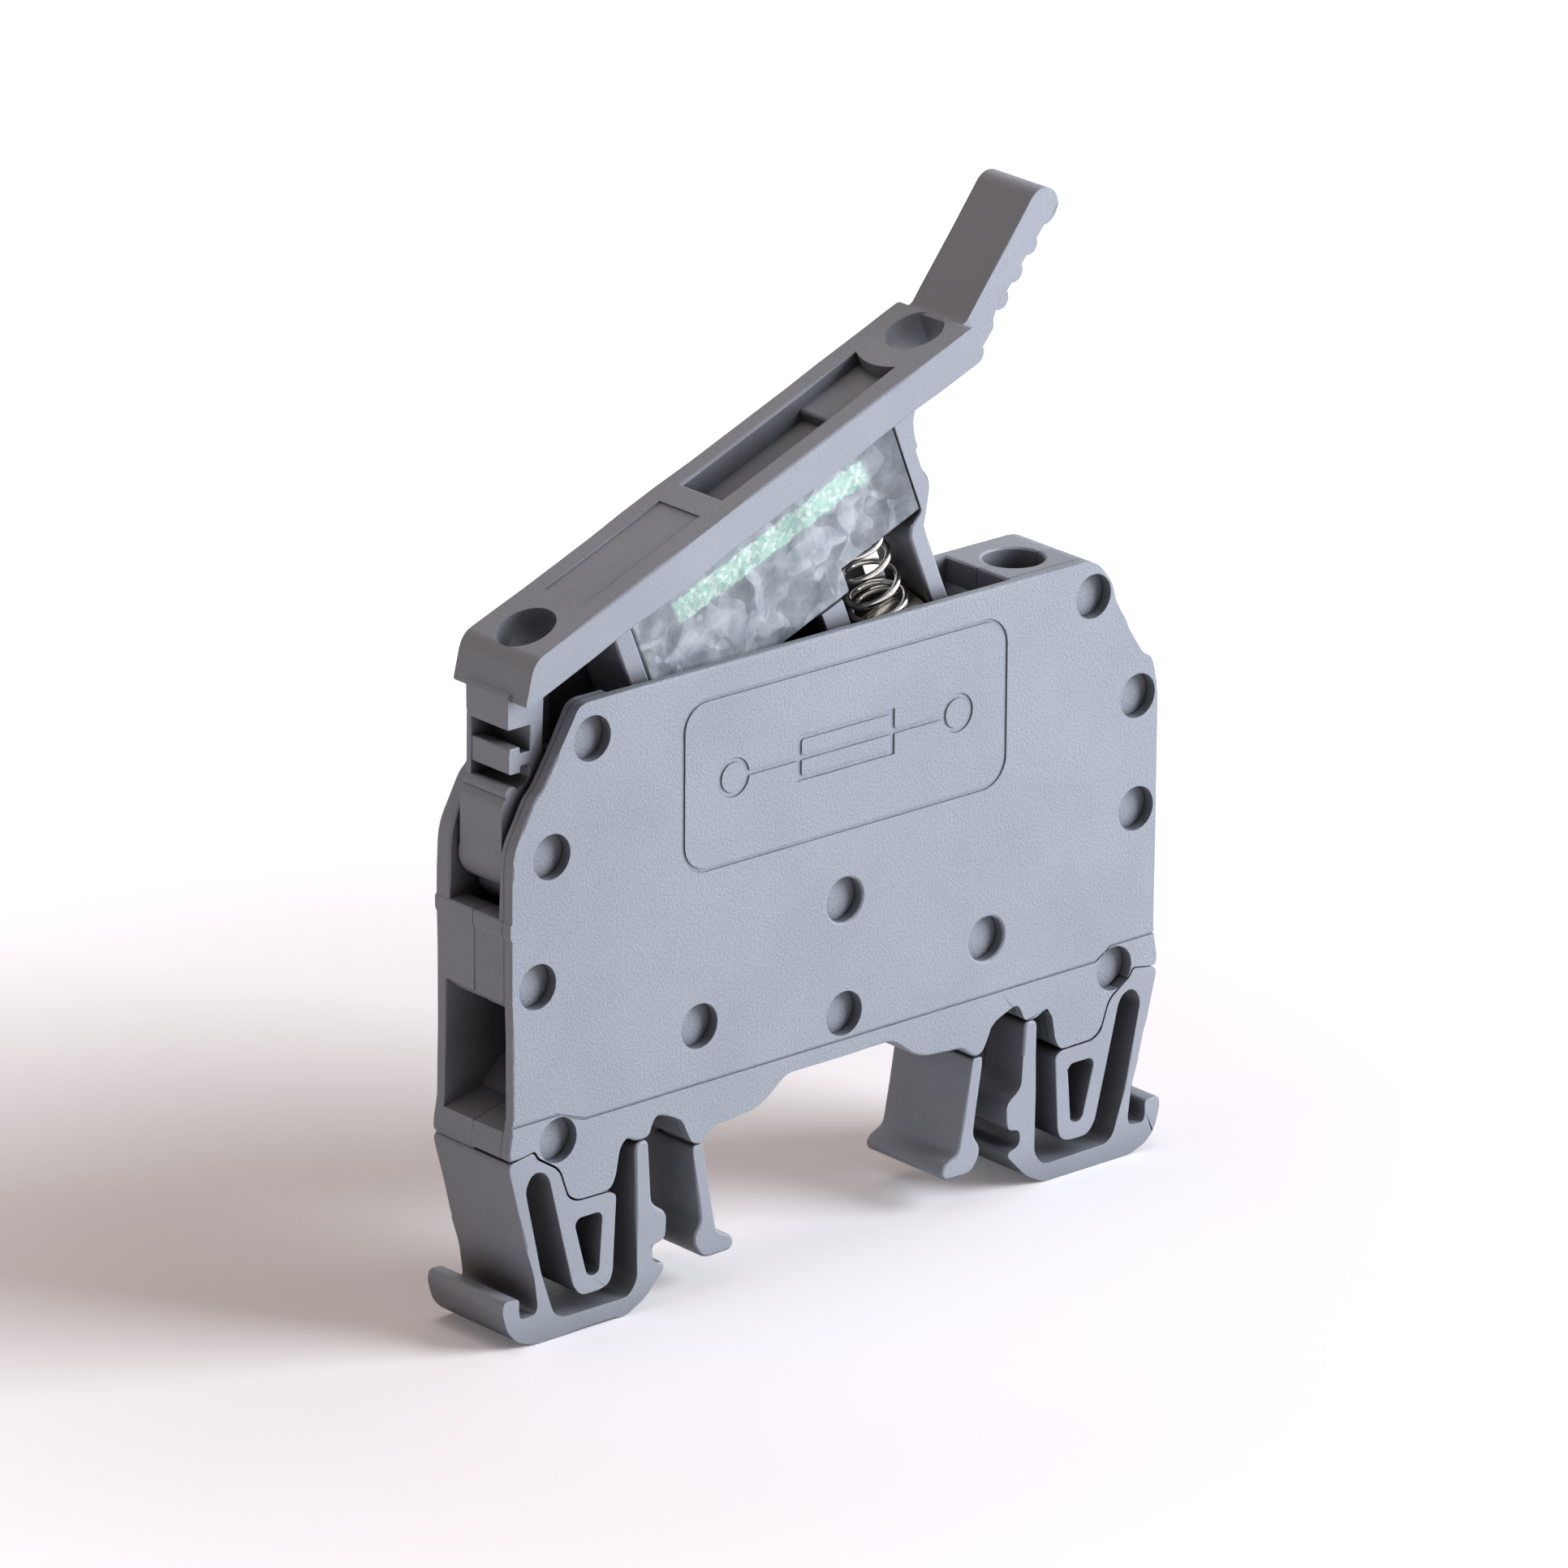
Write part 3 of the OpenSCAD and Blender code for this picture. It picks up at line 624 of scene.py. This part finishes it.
def wound_wire_tree():
    tree = bpy.data.node_groups.new("wound_wire", "GeometryNodeTree")
    sockets = {name: add_input(tree, name, "NodeSocketFloat", value) for name, value in (
        ("Turns", 4.0), ("Height", 0.006), ("Bottom radius", 0.002), ("Top radius", 0.0016),
        ("Wire radius", 0.0002), ("Closed share", 0.08))}
    sockets["Material"] = add_input(tree, "Material", "NodeSocketMaterial")
    tree.interface.new_socket("Geometry", in_out="OUTPUT", socket_type="NodeSocketGeometry")
    given = tree.nodes.new("NodeGroupInput").outputs
    line = put(tree, "GeometryNodeCurvePrimitiveLine", feed={"End": (0, 0, 1)})
    fine = put(tree, "GeometryNodeResampleCurve",
               feed={"Curve": line.outputs["Curve"], "Count": POINTS_ON_WIRE})
    along = tree.nodes.new("GeometryNodeSplineParameter").outputs["Factor"]
    angle = math_node(tree, "MULTIPLY", math_node(tree, "MULTIPLY", along, given["Turns"]), math.tau)
    radius = put(tree, "ShaderNodeMapRange", feed={"Value": along, "To Min": given["Bottom radius"],
                                                   "To Max": given["Top radius"]}).outputs["Result"]
    last = math_node(tree, "SUBTRACT", 1.0, given["Closed share"])
    height = put(tree, "ShaderNodeMapRange", {"interpolation_type": "SMOOTHSTEP"},
                 {"Value": along, "From Min": given["Closed share"], "From Max": last,
                  "To Max": given["Height"]}).outputs["Result"]
    place = put(tree, "ShaderNodeCombineXYZ", feed={
        "X": math_node(tree, "MULTIPLY", radius, math_node(tree, "COSINE", angle)),
        "Y": math_node(tree, "MULTIPLY", radius, math_node(tree, "SINE", angle)), "Z": height})
    coil = put(tree, "GeometryNodeSetPosition",
               feed={"Geometry": fine.outputs["Curve"], "Position": place.outputs["Vector"]})
    section = put(tree, "GeometryNodeCurvePrimitiveCircle",
                  feed={"Resolution": SIDES_OF_WIRE, "Radius": given["Wire radius"]})
    wire = put(tree, "GeometryNodeCurveToMesh", feed={
        "Curve": coil.outputs["Geometry"], "Profile Curve": section.outputs["Curve"], "Fill Caps": True})
    real = put(tree, "GeometryNodeRealizeInstances", feed={"Geometry": wire.outputs["Mesh"]})
    done = put(tree, "GeometryNodeSetMaterial",
               feed={"Geometry": real.outputs["Geometry"], "Material": given["Material"]})
    out = tree.nodes.new("NodeGroupOutput")
    tree.links.new(done.outputs["Geometry"], out.inputs["Geometry"])
    return tree, sockets


wound_wire, wire_sockets = wound_wire_tree()
print("inputs of the wire tree:", list(wire_sockets))

# %% [markdown]
# A modifier runs the tree on an empty mesh. The result is copied to a plain mesh and moved to its place, and
# the modifier is gone before the piece is handed to the frame.

# %% Run the tree and keep the mesh
def wind(name, values, placing):
    holder = bpy.data.objects.new(name, bpy.data.meshes.new(name + "_start"))
    bpy.context.scene.collection.objects.link(holder)
    runner = holder.modifiers.new("tree", "NODES")
    runner.node_group = wound_wire
    for key, value in values.items():
        runner[wire_sockets[key]] = value
    graph = bpy.context.evaluated_depsgraph_get()
    mesh = bpy.data.meshes.new_from_object(holder.evaluated_get(graph))
    holder.modifiers.remove(runner)
    mesh.transform(placing)
    mesh.polygons.foreach_set("use_smooth", [True] * len(mesh.polygons))
    holder.data = mesh
    print(name, len(mesh.polygons), "faces")
    return holder


# %% Wind the two contact springs
WIRE_MM = 0.25
END_GAP_MM = 0.05
BOTTOM_RADIUS_MM, TOP_RADIUS_MM = 2.15, 1.7
SPRING_LOW_MM = 33.0
for side, x, spring_high_mm, turns in (("left", -5.65, 37.6, 3.3), ("right", 9.15, 39.6, 4.6)):
    spring = wind("contact_spring_coil_" + side, {
        "Turns": turns, "Height": (spring_high_mm - SPRING_LOW_MM - 2 * WIRE_MM - 2 * END_GAP_MM) * MM,
        "Bottom radius": BOTTOM_RADIUS_MM * MM, "Top radius": TOP_RADIUS_MM * MM,
        "Wire radius": WIRE_MM * MM, "Closed share": 0.07, "Material": spring_steel},
        on_open_lever(x, SPRING_LOW_MM + WIRE_MM + END_GAP_MM))
    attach(spring, "lever")
    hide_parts("contact_spring_" + side)

# %% [markdown]
# ## Screw threads
# The clamp screws are M3 with a pitch of half a millimetre. A thread is the same rule as a spring: a ridge on
# a helix of constant radius. The wire tree winds it, with closed ends left out, around the core of each screw.
# It starts just above the tip and ends below the head.

# %% Wind the threads
PITCH_MM = 0.5
CORE_RADIUS_MM = 1.40
RIDGE_MM = 0.13
START_MM = 0.2
UNTHREADED_MM = 3.4
for side, x in (("left", -19.2), ("right", 20.0)):
    low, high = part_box("clamp_screw_" + side)
    length = high[2] - low[2] - UNTHREADED_MM * MM
    thread = wind("screw_thread_" + side, {
        "Turns": length / (PITCH_MM * MM), "Height": length, "Bottom radius": CORE_RADIUS_MM * MM,
        "Top radius": CORE_RADIUS_MM * MM, "Wire radius": RIDGE_MM * MM, "Closed share": 0.0,
        "Material": zinc},
        Matrix.Translation((x * MM, 0, low[2] + START_MM * MM)))
    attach(thread, "clamp_screw_" + side)

# %% [markdown]
# ## Floor, light and background
# The block stands on a white sweep. Rays that come from the camera, or that reach the floor by a reflection
# or through clear plastic, find it brighter by nearly a half, and glowing more the further it is from the
# block. So it turns white in the picture and adds little light to the block.

# %% Stage
FLOOR_HALF = 3
GLOW_NEAR, GLOW_FAR = 0.035, 0.17
GLOW_LOW, GLOW_HIGH = 0.10, 0.8
BRIGHTER = 0.47


def seen_directly(tree):
    path = put(tree, "ShaderNodeLightPath").outputs
    either = math_node(tree, "MAXIMUM", path["Is Camera Ray"], path["Is Glossy Ray"])
    return math_node(tree, "MAXIMUM", either, path["Is Transmission Ray"])


corners = [(-FLOOR_HALF, -FLOOR_HALF, 0), (FLOOR_HALF, -FLOOR_HALF, 0),
           (FLOOR_HALF, FLOOR_HALF, 0), (-FLOOR_HALF, FLOOR_HALF, 0)]
floor_mesh = bpy.data.meshes.new("sweep")
floor_mesh.from_pydata(corners, [], [(0, 1, 2, 3)])
floor = bpy.data.objects.new("sweep", floor_mesh)
bpy.context.scene.collection.objects.link(floor)
paper, tree, shader, place = start_material(
    "white_paper", {"Roughness": 0.9, "Base Color": colour("E9E8EA")})
away = put(tree, "ShaderNodeVectorMath", {"operation": "LENGTH"}, {0: place}).outputs["Value"]
level = put(tree, "ShaderNodeMapRange", {"interpolation_type": "SMOOTHSTEP"},
            {"Value": away, "From Min": GLOW_NEAR, "From Max": GLOW_FAR,
             "To Min": GLOW_LOW, "To Max": GLOW_HIGH}).outputs["Result"]
matt = shader.outputs["BSDF"]
glow = put(tree, "ShaderNodeEmission",
           feed={"Color": colour("F6F8FF"), "Strength": level}).outputs["Emission"]
twice = put(tree, "ShaderNodeAddShader", feed={0: matt, 1: matt}).outputs["Shader"]
lifted = put(tree, "ShaderNodeMixShader", feed={0: BRIGHTER, 1: matt, 2: twice}).outputs["Shader"]
white = put(tree, "ShaderNodeAddShader", feed={0: lifted, 1: glow}).outputs["Shader"]
choice = put(tree, "ShaderNodeMixShader", feed={0: seen_directly(tree), 1: matt, 2: white})
end = next(n for n in tree.nodes if n.type == "OUTPUT_MATERIAL")
tree.links.new(choice.outputs["Shader"], end.inputs["Surface"])
floor_mesh.materials.append(paper)
print("sweep", 2 * FLOOR_HALF, "m wide")

# %% [markdown]
# A large soft lamp on the right lights the side face, a weak one above lights the top edges, and a weak warm
# surround fills the rest. So the end face turns brownish and the shadow falls to the left. The level of a
# lamp is how bright a white sheet at the origin looks when it faces the lamp, so the power grows with the
# square of the distance.

# %% Lamps and surround
def lamp(name, place, size, level, tint):
    data = bpy.data.lights.new(name, "AREA")
    data.size = size
    data.color = colour(tint)[:3]
    distance = Vector(place).length
    data.energy = math.pi ** 2 * distance ** 2 * level
    made = bpy.data.objects.new(name, data)
    facing = Vector(place).to_track_quat("Z", "Y").to_matrix().to_4x4()
    made.matrix_world = Matrix.Translation(place) @ facing
    bpy.context.scene.collection.objects.link(made)
    print(name, round(data.energy, 2), "W")


lamp("right_softbox", (0.44, -0.44, 0.29), 0.42, 1.24, "F4F8FF")
lamp("top_softbox", (-0.1, 0.1, 0.9), 0.5, 0.14, "FFF1E8")
world = bpy.data.worlds.new("studio")
bpy.context.scene.world = world
world.use_nodes = True
tree = world.node_tree
tree.nodes.clear()
white = put(tree, "ShaderNodeBackground", feed={"Color": colour("FDFDFE"), "Strength": 1.0})
warm = put(tree, "ShaderNodeBackground", feed={"Color": colour("F0C5B0"), "Strength": 0.14})
mix = put(tree, "ShaderNodeMixShader",
          feed={0: seen_directly(tree), 1: warm.outputs["Background"], 2: white.outputs["Background"]})
put(tree, "ShaderNodeOutputWorld", feed={"Surface": mix.outputs["Shader"]})
bpy.context.scene.view_settings.view_transform = "Standard"
